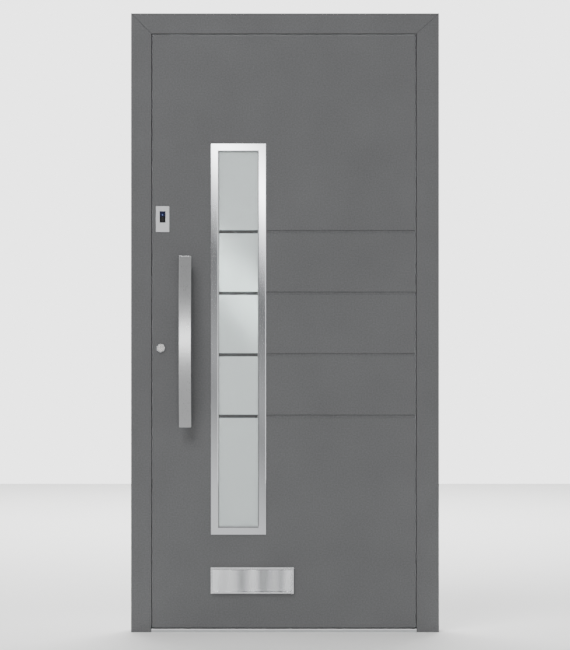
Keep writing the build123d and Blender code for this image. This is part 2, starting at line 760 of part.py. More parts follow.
def bow(radius):
    """A disc along X whose rim is the bow of the bar."""
    start = (PULL_X - PULL_WIDTH / 2, bow_axis, PULL_MIDDLE)
    return round_bar((1, 0, 0), start, radius, PULL_WIDTH)


bar_back = FRONT - PULL_END_GAP - PULL_RISE
bar_window = block(
    (PULL_X - PULL_WIDTH / 2, PULL_X + PULL_WIDTH / 2),
    (bar_back - PULL_THICK - PAST, FRONT),
    (PULL_MIDDLE - half, PULL_MIDDLE + half),
)
pull_bar = (bow(bow_radius + PULL_THICK) & bar_window) - bow(bow_radius)
pull_bar = chamfer(pull_bar.edges().filter_by(GeomType.CIRCLE), PULL_EDGE)
posts, studs = [], []
for z in POST_HEIGHTS:
    post = shaft_y(PULL_X, z, POST_RADIUS, (bar_back, FRONT)) & bow(bow_radius - POST_FIT)
    bore_y = (FRONT - STUD_REACH - PAST, FRONT + PAST)
    posts.append(post - shaft_y(PULL_X, z, STUD_RADIUS + STUD_FIT, bore_y))
    stud = shaft_y(PULL_X, z, STUD_RADIUS, (FRONT - STUD_REACH, BACK))
    studs.append(stud + shaft_y(PULL_X, z, STUD_HEAD, (BACK, BACK + STUD_HEAD_THICK)))
save("pull_bar", pull_bar)
save("pull_posts", *posts)
save("pull_studs", *studs)

# Fingerprint reader: a steel plate and a module with a finger trough
reader_rect = (
    READER_X - READER_WIDTH / 2,
    READER_X + READER_WIDTH / 2,
    READER_Z - READER_HEIGHT / 2,
    READER_Z + READER_HEIGHT / 2,
)
sensor_mid = READER_Z + SENSOR_OFFSET
sensor_rect = (
    READER_X - SENSOR_WIDTH / 2,
    READER_X + SENSOR_WIDTH / 2,
    sensor_mid - SENSOR_HEIGHT / 2,
    sensor_mid + SENSOR_HEIGHT / 2,
)
reader_plate = slab(reader_rect, (FRONT - READER_PLATE, FRONT))
reader_plate = fillet(reader_plate.edges().filter_by(Axis.Y), READER_CORNER)
reader_plate -= slab(sensor_rect, (FRONT - READER_PLATE - PAST, FRONT + PAST))
module = slab(module_rect, (FRONT, FRONT + MODULE_DEPTH))
sensor_face = FRONT - READER_PLATE + SENSOR_RECESS
module += slab(inset(sensor_rect, SENSOR_FIT), (sensor_face, FRONT))
trough_z = (sensor_rect[2] + FINGER_MARGIN, sensor_mid)
module -= round_bar(
    (0, 0, 1),
    (READER_X, sensor_face - FINGER_RADIUS + FINGER_DEPTH, trough_z[0]),
    FINGER_RADIUS,
    trough_z[1] - trough_z[0],
)
save("reader_plate", reader_plate)
save("reader_module", module)

# Lock case and faceplate
case_y = (LOCK_AXIS_Y - CASE_THICK / 2, LOCK_AXIS_Y + CASE_THICK / 2)
case_hollow_y = widened(case_y, -CASE_WALL)
slot_y = widened(bolt_y, BOLT_FIT)
face_x = widened((WING_LOCK, CASE_FRONT + CASE_WALL), PAST)
bolt_slots = [block(face_x, slot_y, widened(span, BOLT_FIT)) for span in (latch_z, deadbolt_z)]
hook_slots = [block(face_x, slot_y, span) for span in hook_z]
rod_x = (CASE_FRONT + ROD_SETBACK, CASE_FRONT + ROD_SETBACK + ROD_THICK)
rod_y = (LOCK_AXIS_Y - ROD_WIDTH / 2, LOCK_AXIS_Y + ROD_WIDTH / 2)


def rod_slot(z):
    """The slot of a case wall that the drive rod slides through."""
    wall_z = widened((z, z), CASE_WALL + PAST)
    return block(widened(rod_x, ROD_FIT), widened(rod_y, ROD_FIT), wall_z)


faceplate = block((WING_LOCK, CASE_FRONT), leaf_break_y, (FACEPLATE_FOOT, FACEPLATE_TOP))
for slot in bolt_slots + hook_slots:
    faceplate -= slot
save("lock_faceplate", faceplate)

lock_case = slab(CASE_RECT, case_y) - slab(inset(CASE_RECT, CASE_WALL), case_hollow_y)
lock_case -= shaft_y(LOCK_X, CYLINDER_Z, CYLINDER_RADIUS + CYLINDER_FIT, through)
lock_case -= shaft_y(LOCK_X, LEVER_Z, FOLLOWER_HUB + SPINDLE_FIT, through)
for slot in bolt_slots + [rod_slot(CASE_FOOT), rod_slot(CASE_TOP)]:
    lock_case -= slot
save("lock_case", lock_case)

hook_case_y = (LOCK_AXIS_Y - HOOK_CASE_THICK / 2, LOCK_AXIS_Y + HOOK_CASE_THICK / 2)
hook_hollow_y = widened(hook_case_y, -CASE_WALL)
PIVOT_X = WING_LOCK + HOOK_PIVOT
hook_cases = []
for z, slot in zip(HOOK_HEIGHTS, hook_slots):
    rect = (CASE_FRONT, CASE_FRONT + HOOK_CASE_DEPTH, z - HOOK_CASE_BELOW, z + HOOK_CASE_ABOVE)
    case = slab(rect, hook_case_y) - slab(inset(rect, CASE_WALL), hook_hollow_y) - slot
    case -= rod_slot(rect[2]) if z > CYLINDER_Z else rod_slot(rect[3])
    hook_cases.append(case + shaft_y(PIVOT_X, z, HOOK_PIN, hook_case_y))
save("hook_cases", *hook_cases)


# Swing hooks, drawn thrown out and turned back up into the leaf
def swing_hook(z):
    """Hub, neck and a claw that hangs from the neck's end, turned to its rest place."""
    y = (LOCK_AXIS_Y - HOOK_THICK / 2, LOCK_AXIS_Y + HOOK_THICK / 2)
    angle = math.radians(HOOK_CLAW_ANGLE)
    claw_inner = HOOK_REACH - HOOK_CLAW
    neck_half = HOOK_NECK / 2
    rim_top = math.asin(neck_half / HOOK_REACH)
    rim_low = math.asin(neck_half / claw_inner)

    def at(radius, turn):
        return (PIVOT_X - radius * math.cos(turn), z + radius * math.sin(turn))

    outer_arc = ThreePointArc(
        at(HOOK_REACH, rim_top),
        at(HOOK_REACH, (rim_top - angle) / 2),
        at(HOOK_REACH, -angle),
    )
    inner_arc = ThreePointArc(
        at(claw_inner, -angle),
        at(claw_inner, -(angle + rim_low) / 2),
        at(claw_inner, -rim_low),
    )
    edges = [
        outer_arc,
        Line(at(HOOK_REACH, -angle), at(claw_inner, -angle)),
        inner_arc,
        Line(at(claw_inner, -rim_low), (PIVOT_X, z - neck_half)),
        Line((PIVOT_X, z - neck_half), (PIVOT_X, z + neck_half)),
        Line((PIVOT_X, z + neck_half), at(HOOK_REACH, rim_top)),
    ]
    face = Plane.XZ.offset(-y[0]) * make_face(Wire(edges))
    hook = extrude(face, amount=HOOK_THICK, dir=(0, 1, 0))
    hook += shaft_y(PIVOT_X, z, HOOK_HUB, y)
    hook -= shaft_y(PIVOT_X, z, HOOK_PIN + HOOK_PIN_FIT, widened(y, PAST))
    return hook.rotate(Axis((PIVOT_X, 0, z), (0, 1, 0)), 90)


for name, z in zip(("hook_lower", "hook_upper"), HOOK_HEIGHTS):
    save(name, swing_hook(z))

rod_lower_z = (HOOK_HEIGHTS[0] + ROD_HOOK_CLEAR_ABOVE, CASE_FOOT + ROD_CASE_ENTRY)
rod_upper_z = (CASE_TOP - ROD_CASE_ENTRY, HOOK_HEIGHTS[1] - ROD_HOOK_CLEAR_BELOW)
save("rod_lower", block(rod_x, rod_y, rod_lower_z))
save("rod_upper", block(rod_x, rod_y, rod_upper_z))

# Latch bolt, bevelled on the side that meets the strike first, with its finger
latch_tip = WING_LOCK - LATCH_OUT
latch_back = CASE_FRONT + CASE_WALL + LATCH_BACK
head_plan = [
    (latch_back, bolt_y[0]),
    (WING_LOCK, bolt_y[0]),
    (latch_tip, bolt_y[1] - LATCH_NOSE),
    (latch_tip, bolt_y[1]),
    (latch_back, bolt_y[1]),
]
latch_head = extrude(
    Pos(0, 0, latch_z[0]) * make_face(Polyline(*head_plan, close=True)),
    amount=LATCH_HEIGHT,
)
finger_x = LOCK_X - FINGER_LEAD
finger_foot = LEVER_Z + FOLLOWER_RADIUS + LATCH_FINGER_RISE
tail_z = (LATCH_Z - LATCH_TAIL / 2, LATCH_Z + LATCH_TAIL / 2)
latch_tail = block((latch_back, finger_x + LATCH_FINGER), bolt_y, tail_z)
latch_finger = block((finger_x, finger_x + LATCH_FINGER), bolt_y, (finger_foot, tail_z[1]))
save("latch_bolt", latch_head + latch_tail + latch_finger)

save("dead_bolt", block((WING_LOCK, WING_LOCK + DEADBOLT_LENGTH), bolt_y, deadbolt_z))

# Follower and spindle
follower = shaft_y(LOCK_X, LEVER_Z, FOLLOWER_HUB, case_y)
disc_y = widened(case_hollow_y, -BOLT_FIT)
follower += shaft_y(LOCK_X, LEVER_Z, FOLLOWER_RADIUS, disc_y)
arm = block(
    (LOCK_X - FOLLOWER_ARM_WIDTH / 2, LOCK_X + FOLLOWER_ARM_WIDTH / 2),
    disc_y,
    (LEVER_Z, LEVER_Z + FOLLOWER_ARM),
)
follower += arm.rotate(Axis((LOCK_X, 0, LEVER_Z), (0, 1, 0)), -FOLLOWER_TILT)
spindle_x = (LOCK_X - SPINDLE / 2, LOCK_X + SPINDLE / 2)
spindle_y = (case_y[0], BACK + LEVER_STAND)
spindle_z = (LEVER_Z - SPINDLE / 2, LEVER_Z + SPINDLE / 2)
socket_x, socket_z = widened(spindle_x, SPINDLE_FIT), widened(spindle_z, SPINDLE_FIT)
save("lock_follower", follower - block(socket_x, widened(case_y, PAST), socket_z))
save("lever_spindle", block(spindle_x, spindle_y, spindle_z))

# Handle plate, and a round lever with mitred corners that turns back towards the leaf
plate_rect = (
    LOCK_X - PLATE_WIDTH / 2,
    LOCK_X + PLATE_WIDTH / 2,
    PLATE_FOOT,
    PLATE_FOOT + PLATE_HEIGHT,
)
plate_y = (BACK, BACK + PLATE_THICK)
handle_plate = slab(plate_rect, plate_y)
handle_plate = fillet(handle_plate.edges().filter_by(Axis.Y), PLATE_RADIUS)
handle_plate = chamfer(handle_plate.faces().sort_by(Axis.Y)[-1].edges(), PLATE_EDGE)
plate_through = widened(plate_y, PAST)
handle_plate -= shaft_y(LOCK_X, CYLINDER_Z, CYLINDER_RADIUS + CYLINDER_FIT, plate_through)
handle_plate -= shaft_y(LOCK_X, LEVER_Z, LEVER_RADIUS + LEVER_BEARING, plate_through)
save("handle_plate", handle_plate)

lever_y = BACK + PLATE_THICK / 2
grip_y = BACK + LEVER_STAND + LEVER_RADIUS
lever_path = Polyline(
    (LOCK_X, lever_y, LEVER_Z),
    (LOCK_X, grip_y, LEVER_Z),
    (LOCK_X + LEVER_REACH, grip_y, LEVER_Z),
    (LOCK_X + LEVER_REACH, BACK + LEVER_RETURN, LEVER_Z),
)
lever_section = Plane(origin=(LOCK_X, lever_y, LEVER_Z), z_dir=(0, 1, 0)) * Circle(LEVER_RADIUS)
lever = sweep(lever_section, path=lever_path, transition=Transition.RIGHT)
socket_y = (lever_y - PAST, spindle_y[1] + SPINDLE_FIT)
save("lever_handle", lever - block(socket_x, socket_y, socket_z))

# Lock cylinder in two halves, with its plug, cam and thumb turn
nose_y = FRONT - CYLINDER_NOSE
tail_y = BACK + CYLINDER_TAIL
plug_bore = shaft_y(LOCK_X, CYLINDER_Z, PLUG_RADIUS + PLUG_FIT, widened((nose_y, tail_y), PAST))
halves = []
for span in ((nose_y, case_hollow_y[0]), (case_hollow_y[1], tail_y)):
    halves.append(shaft_y(LOCK_X, CYLINDER_Z, CYLINDER_RADIUS, span) - plug_bore)
save("cylinder_body", *halves)

rose = shaft_y(LOCK_X, CYLINDER_Z, ROSE_RADIUS, (FRONT - ROSE_THICK, FRONT))
rose = chamfer(rose.faces().sort_by(Axis.Y)[0].edges(), ROSE_EDGE)
rose -= shaft_y(LOCK_X, CYLINDER_Z, CYLINDER_RADIUS + CYLINDER_FIT, (nose_y - PAST, BACK))
save("cylinder_rose", rose)

plug = shaft_y(LOCK_X, CYLINDER_Z, PLUG_RADIUS, (nose_y, tail_y + TURN_COLLAR_LENGTH))
cam_y = (LOCK_AXIS_Y - CAM_THICK / 2, LOCK_AXIS_Y + CAM_THICK / 2)
plug += block(
    (LOCK_X - CAM_WIDTH / 2, LOCK_X + CAM_WIDTH / 2),
    cam_y,
    (CYLINDER_Z, CYLINDER_Z + CAM_RADIUS),
) & shaft_y(LOCK_X, CYLINDER_Z, CAM_RADIUS, cam_y)
plug += shaft_y(LOCK_X, CYLINDER_Z, PLUG_RADIUS + CAM_COLLAR, cam_y)
plug -= block(
    (LOCK_X - KEYWAY_WIDTH / 2, LOCK_X + KEYWAY_WIDTH / 2),
    (nose_y - PAST, nose_y + KEYWAY_DEPTH),
    (CYLINDER_Z - KEYWAY_HEIGHT / 2, CYLINDER_Z + KEYWAY_HEIGHT / 2),
)
save("cylinder_plug", plug)

collar_y = (tail_y + SEAT_GAP, tail_y + TURN_COLLAR_LENGTH)
turn_y = (collar_y[1], collar_y[1] + TURN_LENGTH)
thumb_turn = shaft_y(LOCK_X, CYLINDER_Z, TURN_COLLAR, collar_y)
wing = block(
    (LOCK_X - TURN_THICK / 2, LOCK_X + TURN_THICK / 2),
    turn_y,
    (CYLINDER_Z - TURN_WIDTH / 2, CYLINDER_Z + TURN_WIDTH / 2),
)
thumb_turn += fillet(wing.edges().filter_by(Axis.Y), TURN_EDGE)
thumb_turn -= shaft_y(LOCK_X, CYLINDER_Z, PLUG_RADIUS, (tail_y, collar_y[1]))
save("thumb_turn", thumb_turn)


# Letter plate: frames outside and inside, a flap on each, and the duct between them
def depth(side, near, far):
    """Two distances from the leaf's face, as y values outside (-1) or inside (1)."""
    face = FRONT if side < 0 else BACK
    return tuple(sorted((face + side * near, face + side * far)))


pin_z = LETTER_RECT[3] - FLAP_DROP
pin_out = LETTER_BASE + SEAT_GAP + FLAP_KNUCKLE
flap_x = widened((LETTER_RECT[0] + LETTER_RIB, LETTER_RECT[1] - LETTER_RIB), -FLAP_FIT)
flap_foot = LETTER_RECT[2] + FLAP_FOOT_GAP
rib_inner = grown(LETTER_RECT, -LETTER_RIB, -LETTER_RIB, PAST, -LETTER_RIB)


def hinge_bar(span, side, radius):
    """A round bar along X on a flap's hinge line."""
    axis_y = depth(side, pin_out, pin_out)[0]
    return round_bar((1, 0, 0), (span[0], axis_y, pin_z), radius, span[1] - span[0])


for side, suffix in ((-1, "outer"), (1, "inner")):
    frame = ring(LETTER_RECT, SLOT_RECT, depth(side, 0, LETTER_BASE))
    frame += ring(LETTER_RECT, rib_inner, depth(side, 0, LETTER_RIB_DEPTH))
    socket_span = widened(flap_x, FLAP_PIN_LENGTH + FLAP_FIT)
    save("letter_frame_" + suffix, frame - hinge_bar(socket_span, side, FLAP_PIN + FLAP_PIN_FIT))

    plate_near = pin_out + FLAP_KNUCKLE - FLAP_THICK
    plate_far = pin_out + FLAP_KNUCKLE
    flap = block(flap_x, depth(side, plate_near, plate_far), (flap_foot, pin_z))
    lip_z = (flap_foot, flap_foot + FLAP_THICK)
    flap += block(flap_x, depth(side, plate_near, plate_far + FLAP_LIP), lip_z)
    flap += hinge_bar(flap_x, side, FLAP_KNUCKLE)
    flap += hinge_bar(widened(flap_x, FLAP_PIN_LENGTH), side, FLAP_PIN)
    save("letter_flap_" + suffix, flap)

save("letter_sleeve", ring(SLEEVE_RECT, SLOT_RECT, (FRONT, BACK)))
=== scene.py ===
import math

import bmesh
import bpy
import numpy as np
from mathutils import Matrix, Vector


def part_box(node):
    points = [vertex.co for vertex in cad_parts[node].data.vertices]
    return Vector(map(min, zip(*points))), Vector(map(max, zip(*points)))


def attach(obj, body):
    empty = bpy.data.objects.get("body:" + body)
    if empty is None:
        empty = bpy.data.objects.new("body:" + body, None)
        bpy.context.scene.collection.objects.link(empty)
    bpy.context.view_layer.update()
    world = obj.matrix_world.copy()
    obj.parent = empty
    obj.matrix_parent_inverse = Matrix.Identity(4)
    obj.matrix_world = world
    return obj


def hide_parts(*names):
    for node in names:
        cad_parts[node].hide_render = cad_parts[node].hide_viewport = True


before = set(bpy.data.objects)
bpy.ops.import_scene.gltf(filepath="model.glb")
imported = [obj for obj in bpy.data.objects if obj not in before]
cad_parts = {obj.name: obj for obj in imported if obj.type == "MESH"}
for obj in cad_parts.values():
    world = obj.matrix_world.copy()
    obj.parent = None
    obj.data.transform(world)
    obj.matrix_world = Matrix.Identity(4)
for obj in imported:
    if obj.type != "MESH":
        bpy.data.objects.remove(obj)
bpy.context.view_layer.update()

# A flush aluminium entrance door in its frame, seen from outside along +Y
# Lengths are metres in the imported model's own axes: the lock side is at -X and up is +Z.
MM = 0.001
BUMP_STRENGTH = 0.3


# Colour and nodes
def linear(code):
    """An sRGB hex colour as linear red, green, blue and a full alpha."""
    parts = [int(code[i : i + 2], 16) / 255 for i in (1, 3, 5)]
    lin = [c / 12.92 if c <= 0.04045 else ((c + 0.055) / 1.055) ** 2.4 for c in parts]
    return (*lin, 1.0)


def grey(level):
    """A neutral colour of one linear level."""
    return (level, level, level, 1.0)


def add(tree, kind, links=None, **settings):
    """Adds one shader node with its settings. Links holds sockets to join and plain socket values."""
    made = tree.nodes.new("ShaderNode" + kind)
    for name, value in settings.items():
        setattr(made, name, value)
    for key, value in (links or {}).items():
        if isinstance(value, bpy.types.NodeSocket):
            tree.links.new(value, made.inputs[key])
        else:
            made.inputs[key].default_value = value
    return made


def finish_of(name, pattern, low, high, rough, relief, **own):
    """A material whose colour, roughness and relief follow one pattern over the piece.

    The pattern is a function that turns the tree and the object coordinates into a socket from 0 to 1. Low
    and high are the colours at its ends, rough the roughness there, relief its height in metres, and own the
    shader's own settings, with an underscore for a space.
    """
    made = bpy.data.materials.new(name)
    made.use_nodes = True
    tree = made.node_tree
    shader = tree.nodes["Principled BSDF"]
    tone = pattern(tree, add(tree, "TexCoord").outputs["Object"])
    ends = {"Factor": tone, 6: linear(low), 7: linear(high)}
    colour = add(tree, "Mix", ends, data_type="RGBA")
    roughness = add(tree, "MapRange", {"Value": tone, "To Min": rough[0], "To Max": rough[1]})
    bump = add(tree, "Bump", {"Height": tone, "Strength": BUMP_STRENGTH, "Distance": relief})
    tree.links.new(colour.outputs[2], shader.inputs["Base Color"])
    tree.links.new(roughness.outputs[0], shader.inputs["Roughness"])
    tree.links.new(bump.outputs[0], shader.inputs["Normal"])
    for key, value in own.items():
        shader.inputs[key.replace("_", " ")].default_value = value
    return made


# Patterns
# Painted reflection for brushed sheet: broad light and dark bands in the colour, standing in for the room
# mirrored in the steel
PAINTED_REFLECTION_LOW, PAINTED_REFLECTION_HIGH = 0.36, 0.64
PAINTED_REFLECTION_SHARE = 0.7
PAINTED_REFLECTION_RUN = 20


def specks(size, detail=3.0):
    """Specks of one size in metres, as moulding, casting or rolling leaves them."""

    def pattern(tree, place):
        noise = add(tree, "TexNoise", {"Vector": place, "Scale": 1 / size, "Detail": detail})
        return noise.outputs["Fac"]

    return pattern


def blend(tree, share, first, second):
    """A socket with the first value, and the given share of the second in its place."""
    mixed = add(tree, "Mix", {"Factor": share, 2: first, 3: second}, data_type="FLOAT")
    return mixed.outputs[0]


def specks_on_cloud(size, cloud, share):
    """Fine specks over a broad, faint cloud, which has the given share of the tone."""

    def pattern(tree, place):
        fine = specks(size)(tree, place)
        broad = specks(cloud, 2.0)(tree, place)
        return blend(tree, share, fine, broad)

    return pattern


def drawn_noise(tree, place, axis, across, along, detail):
    """Noise whose specks are one size in metres across an axis and another along it."""
    scale = [1 / across] * 3
    scale[axis] = 1 / along
    stretched = add(tree, "Mapping", {"Vector": place, "Scale": scale}).outputs[0]
    noise = add(tree, "TexNoise", {"Vector": stretched, "Scale": 1.0, "Detail": detail})
    return noise.outputs["Fac"]


def brush_lines(axis, width, length, reflection_band_width=None):
    """Lines along one axis, 0 for X and 2 for Z, and, where a band width is given, broad bands of painted
    reflection across them.
    """

    def pattern(tree, place):
        lines = drawn_noise(tree, place, axis, width, length, 4.0)
        if reflection_band_width is None:
            return lines
        # Painted reflection: broad bands of light and dark across the lines
        broad = drawn_noise(tree, place, axis, reflection_band_width, PAINTED_REFLECTION_RUN * reflection_band_width, 1.0)
        ends = {"Value": broad, "From Min": PAINTED_REFLECTION_LOW, "From Max": PAINTED_REFLECTION_HIGH}
        painted_reflection_bands = add(tree, "MapRange", ends).outputs[0]
        return blend(tree, PAINTED_REFLECTION_SHARE, lines, painted_reflection_bands)

    return pattern


# Metals and plastics
# Polyester powder coat with a fine texture, sprayed and baked on aluminium: a dry, even grey whose grain
# breaks up the light. The real grain is about 0.4 mm. It is drawn at 5 mm, or it wouldn't show at this size.
COAT_GRAIN = specks_on_cloud(5 * MM, 180 * MM, 0.25)
COAT_OUTER = finish_of(
    "powder_coat_outside", COAT_GRAIN, "#363638", "#696A6B", (0.44, 0.62), 0.25 * MM, IOR=1.5
)
COAT_INNER = finish_of(
    "powder_coat_inside", COAT_GRAIN, "#4C4D50", "#5D5E61", (0.46, 0.62), 0.25 * MM, IOR=1.5
)
# Stainless steel ground with a fine belt and rolled bright: flat trim that mirrors the room softly. Its
# lines are some 0.2 mm apart, drawn at 0.8 mm.
STEEL_TRIM = finish_of(
    "stainless_steel_fine_ground", brush_lines(2, 0.8 * MM, 90 * MM), "#D9DBDE", "#E1E3E6",
    (0.03, 0.05), 0.0004 * MM, Metallic=1.0,
)
# Stainless steel brushed along its length: reflections are drawn out wide and soft. Its lines are some
# 0.3 mm apart, drawn at 1 mm.
STEEL_BAR = finish_of(
    "stainless_steel_brushed_upright", brush_lines(2, 1.0 * MM, 70 * MM), "#B8B9BA", "#C7C8C9",
    (0.26, 0.30), 0.01 * MM, Metallic=1.0, Anisotropic=0.7,
)
# The shader's tangent is the bar's own X axis, turned to world directions, so that the shine follows the
# bar also where the leaf stands open.
brushed = STEEL_BAR.node_tree
crosswise = add(
    brushed, "VectorTransform", {"Vector": (1.0, 0.0, 0.0)}, vector_type="VECTOR",
    convert_from="OBJECT", convert_to="WORLD",
)
brushed.links.new(crosswise.outputs[0], brushed.nodes["Principled BSDF"].inputs["Tangent"])
# Stainless steel blasted with glass beads: an even, dull silver without lines
STEEL_MATT = finish_of(
    "stainless_steel_bead_blasted", specks(2 * MM), "#B2B3B5", "#C4C5C7", (0.4, 0.46), 0.01 * MM,
    Metallic=1.0,
)
# The same steel ground a little coarser, for the letter plate's frames
STEEL_BRIGHT = finish_of(
    "stainless_steel_ground_bright", brush_lines(2, 0.8 * MM, 60 * MM), "#D6D7D9", "#E4E5E7",
    (0.12, 0.17), 0.004 * MM, Metallic=1.0,
)
# Stainless sheet brushed upwards in wide strokes. The bands of tone that run up the letter flaps are painted
# reflection: broad light and dark stripes in the colour that stand in for the room mirrored in the steel.
STEEL_FLAP = finish_of(
    "stainless_steel_brushed_with_painted_reflection_bands", brush_lines(2, 0.9 * MM, 60 * MM, 55 * MM), "#96989A",
    "#DFE0E2", (0.2, 0.3), 0.01 * MM, Metallic=1.0,
)
# Steel with a zinc plating, passivated clear: a pale bluish metal with faint blooms
ZINC = finish_of(
    "zinc_plated_steel", specks(6 * MM), "#A9ADB0", "#C6CACC", (0.28, 0.42), 0.01 * MM, Metallic=1.0
)
# Aluminium as extruded, dull grey with the die's faint lines: the leaf's profiles behind their sheets
MILL = finish_of(
    "mill_finish_aluminium", brush_lines(2, 1.2 * MM, 90 * MM), "#A2A3A5", "#B6B8BA", (0.36, 0.48),
    0.01 * MM, Metallic=1.0,
)
# Aluminium etched and anodised natural: an even, bright satin
ANODISED = finish_of(
    "anodised_aluminium_natural", brush_lines(0, 0.9 * MM, 80 * MM), "#CACBCC", "#DCDDDE",
    (0.36, 0.46), 0.01 * MM, Metallic=1.0,
)
# Brass turned and plated with satin nickel: a warm pale metal with a soft shine
NICKEL = finish_of(
    "nickel_plated_brass", specks(3 * MM), "#BDB9AF", "#D2CEC4", (0.18, 0.26), 0.005 * MM, Metallic=1.0
)
# Brass turned and plated with black nickel: the face of the cylinder, dark and smooth
BLACK_NICKEL = finish_of(
    "black_nickel_plated_brass", specks(3 * MM), "#666564", "#767574", (0.12, 0.18), 0.004 * MM,
    Metallic=1.0,
)
# Aluminium tube of the glass unit's edge, rolled and dull
SPACER = finish_of(
    "aluminium_spacer_tube", specks(2 * MM), "#8E9092", "#A4A6A8", (0.36, 0.48), 0.01 * MM, Metallic=1.0
)
# Polyamide filled with glass fibre, extruded black: matt, with faint flow marks
POLYAMIDE = finish_of(
    "glass_filled_polyamide", specks(2 * MM), "#1B1B1C", "#262627", (0.52, 0.68), 0.05 * MM, IOR=1.53
)
# Pultruded glass-fibre plastic of the threshold, in a light grey with fine fibre marks
BASE_PLASTIC = finish_of(
    "glass_fibre_plastic_light", brush_lines(0, 1.5 * MM, 60 * MM), "#A2A4A5", "#B4B6B7",
    (0.45, 0.6), 0.05 * MM, IOR=1.52,
)
# Rigid insulating foam, cut from the block: pale, open and quite matt
FOAM = finish_of(
    "rigid_foam", specks(1.5 * MM), "#D8C79A", "#E6D8B0", (0.85, 0.95), 0.3 * MM, IOR=1.4
)
# EPDM rubber, extruded: black and slightly greasy
RUBBER = finish_of(
    "epdm_rubber", specks(1.5 * MM), "#1B1B1C", "#262627", (0.55, 0.7), 0.05 * MM, IOR=1.52
)
# The same rubber in pale grey, for the stop gasket behind the gap
GREY_RUBBER = finish_of(
    "epdm_rubber_grey", specks(1.5 * MM), "#A6A8AA", "#B2B4B5", (0.55, 0.7), 0.05 * MM, IOR=1.52
)
# Silicone glazing seal in grey: a soft line that hardly shows between trim and glass
SILICONE = finish_of(
    "silicone_glazing_seal", specks(2 * MM), "#8C8E8F", "#9A9C9D", (0.5, 0.62), 0.03 * MM, IOR=1.41
)
# Polycarbonate moulded with a high gloss, black
BLACK_GLOSS = finish_of(
    "gloss_black_polycarbonate", specks(3 * MM), "#07080A", "#0E0F12", (0.04, 0.06), 0.003 * MM, IOR=1.58
)
# The same plastic with a deep blue filter cast in, behind which the sensor's light glows
BLUE_GLOSS = finish_of(
    "blue_filter_polycarbonate", specks(3 * MM), "#050D2C", "#091640", (0.04, 0.06), 0.003 * MM, IOR=1.58
)
# The lens of the sensor's lamp: frosted plastic, faintly lit blue from within
LAMP_LENS = finish_of(
    "lit_lamp_lens", specks(1 * MM), "#33467A", "#405490", (0.2, 0.3), 0.003 * MM, IOR=1.5,
    Emission_Color=linear("#6F8BE0"), Emission_Strength=0.1,
)
# Pale concrete of the studio floor, sealed and matt
FLOOR_FINISH = finish_of(
    "pale_studio_floor", specks(0.5), "#F2F2F1", "#F6F6F5", (0.7, 0.8), 0.0, IOR=1.45
)

# Glass
# Float glass etched satin: it scatters what falls on it and lets a blurred glow of the hall through, but for
# the ground lines across it, which are clear and smooth on the real glass. Here they keep the etched face's
# roughness, and their dark is painted shade: the dim hall seen through them, painted into the colour.
# The lines lie at the heights of the leaf's grooves and are as wide.
GLASS_LINE_FIRST = 771 * MM
GLASS_LINE_PITCH = 219.7 * MM
GLASS_LINE_HALF = 6 * MM
GLASS_LINES = [GLASS_LINE_FIRST + GLASS_LINE_PITCH * count for count in range(4)]


def etched_with_painted_dark_lines(tree, place):
    """Zero on the etched face and one on its lines, which are painted dark as shade: the nearest line's
    distance, cut off sharply.
    """
    up = add(tree, "SeparateXYZ", {"Vector": place}).outputs["Z"]
    nearest = None
    for height in GLASS_LINES:
        off = add(tree, "Math", {0: up, 1: height}, operation="SUBTRACT")
        far = add(tree, "Math", {0: off.outputs[0]}, operation="ABSOLUTE").outputs[0]
        if nearest is not None:
            far = add(tree, "Math", {0: far, 1: nearest}, operation="MINIMUM").outputs[0]
        nearest = far
    return add(tree, "Math", {0: nearest, 1: GLASS_LINE_HALF}, operation="LESS_THAN").outputs[0]


# The high colour is painted shade for the clear lines: the dim hall behind them, painted as a dark colour
SATIN_GLASS = finish_of(
    "etched_float_glass", etched_with_painted_dark_lines, "#CED2D3", "#1A1D1F", (0.27, 0.27), 0.01 * MM, IOR=1.52,
    Transmission_Weight=0.5,
)
# Clear float glass with a faint green cast, slightly uneven from the tin bath
CLEAR_GLASS = finish_of(
    "clear_float_glass", specks(0.4, 1.0), "#EAF3F0", "#F0F6F4", (0.01, 0.03), 0.0, IOR=1.52,
    Transmission_Weight=1.0,
)

FINISHES = {
    COAT_OUTER: ["frame_head_outer", "lock_jamb_outer", "hinge_jamb_outer", "leaf_outer_sheet"],
    COAT_INNER: [
        "frame_head_inner", "lock_jamb_inner", "hinge_jamb_inner", "leaf_inner_sheet",
        "hinge_frame_parts", "hinge_leaf_parts", "hinge_pins", "window_trim_inner",
    ],
    STEEL_TRIM: ["window_trim_outer", "cylinder_rose"],
    STEEL_BAR: ["pull_bar", "pull_posts"],
    STEEL_MATT: [
        "reader_plate", "pull_studs", "handle_plate", "lock_faceplate", "strike_main", "strike_lower",
        "strike_upper", "lever_handle", "letter_sleeve",
    ],
    STEEL_BRIGHT: ["letter_frame_outer", "letter_frame_inner"],
    STEEL_FLAP: ["letter_flap_outer", "letter_flap_inner"],
    ZINC: [
        "lock_case", "hook_cases", "lever_spindle", "lock_follower", "latch_bolt", "dead_bolt",
        "hook_lower", "hook_upper", "rod_lower", "rod_upper",
    ],
    MILL: [
        "frame_corner_cleats", "leaf_lock_stile", "leaf_hinge_stile", "leaf_head_rail", "leaf_sill_rail",
    ],
    ANODISED: ["threshold_cap"],
    POLYAMIDE: ["frame_thermal_strips", "leaf_thermal_strips"],
    BASE_PLASTIC: ["threshold_base"],
    FOAM: ["leaf_core"],
    RUBBER: ["sill_seal"],
    GREY_RUBBER: ["frame_gasket"],
    SILICONE: ["glazing_gaskets"],
    SATIN_GLASS: ["pane_outer"],
    CLEAR_GLASS: ["pane_middle", "pane_inner"],
    SPACER: ["pane_spacers"],
    BLACK_GLOSS: ["reader_module"],
    BLACK_NICKEL: ["cylinder_body", "cylinder_plug"],
    NICKEL: ["thumb_turn"],
}
for finish, names in FINISHES.items():
    for name in names:
        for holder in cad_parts[name].material_slots:
            holder.material = finish


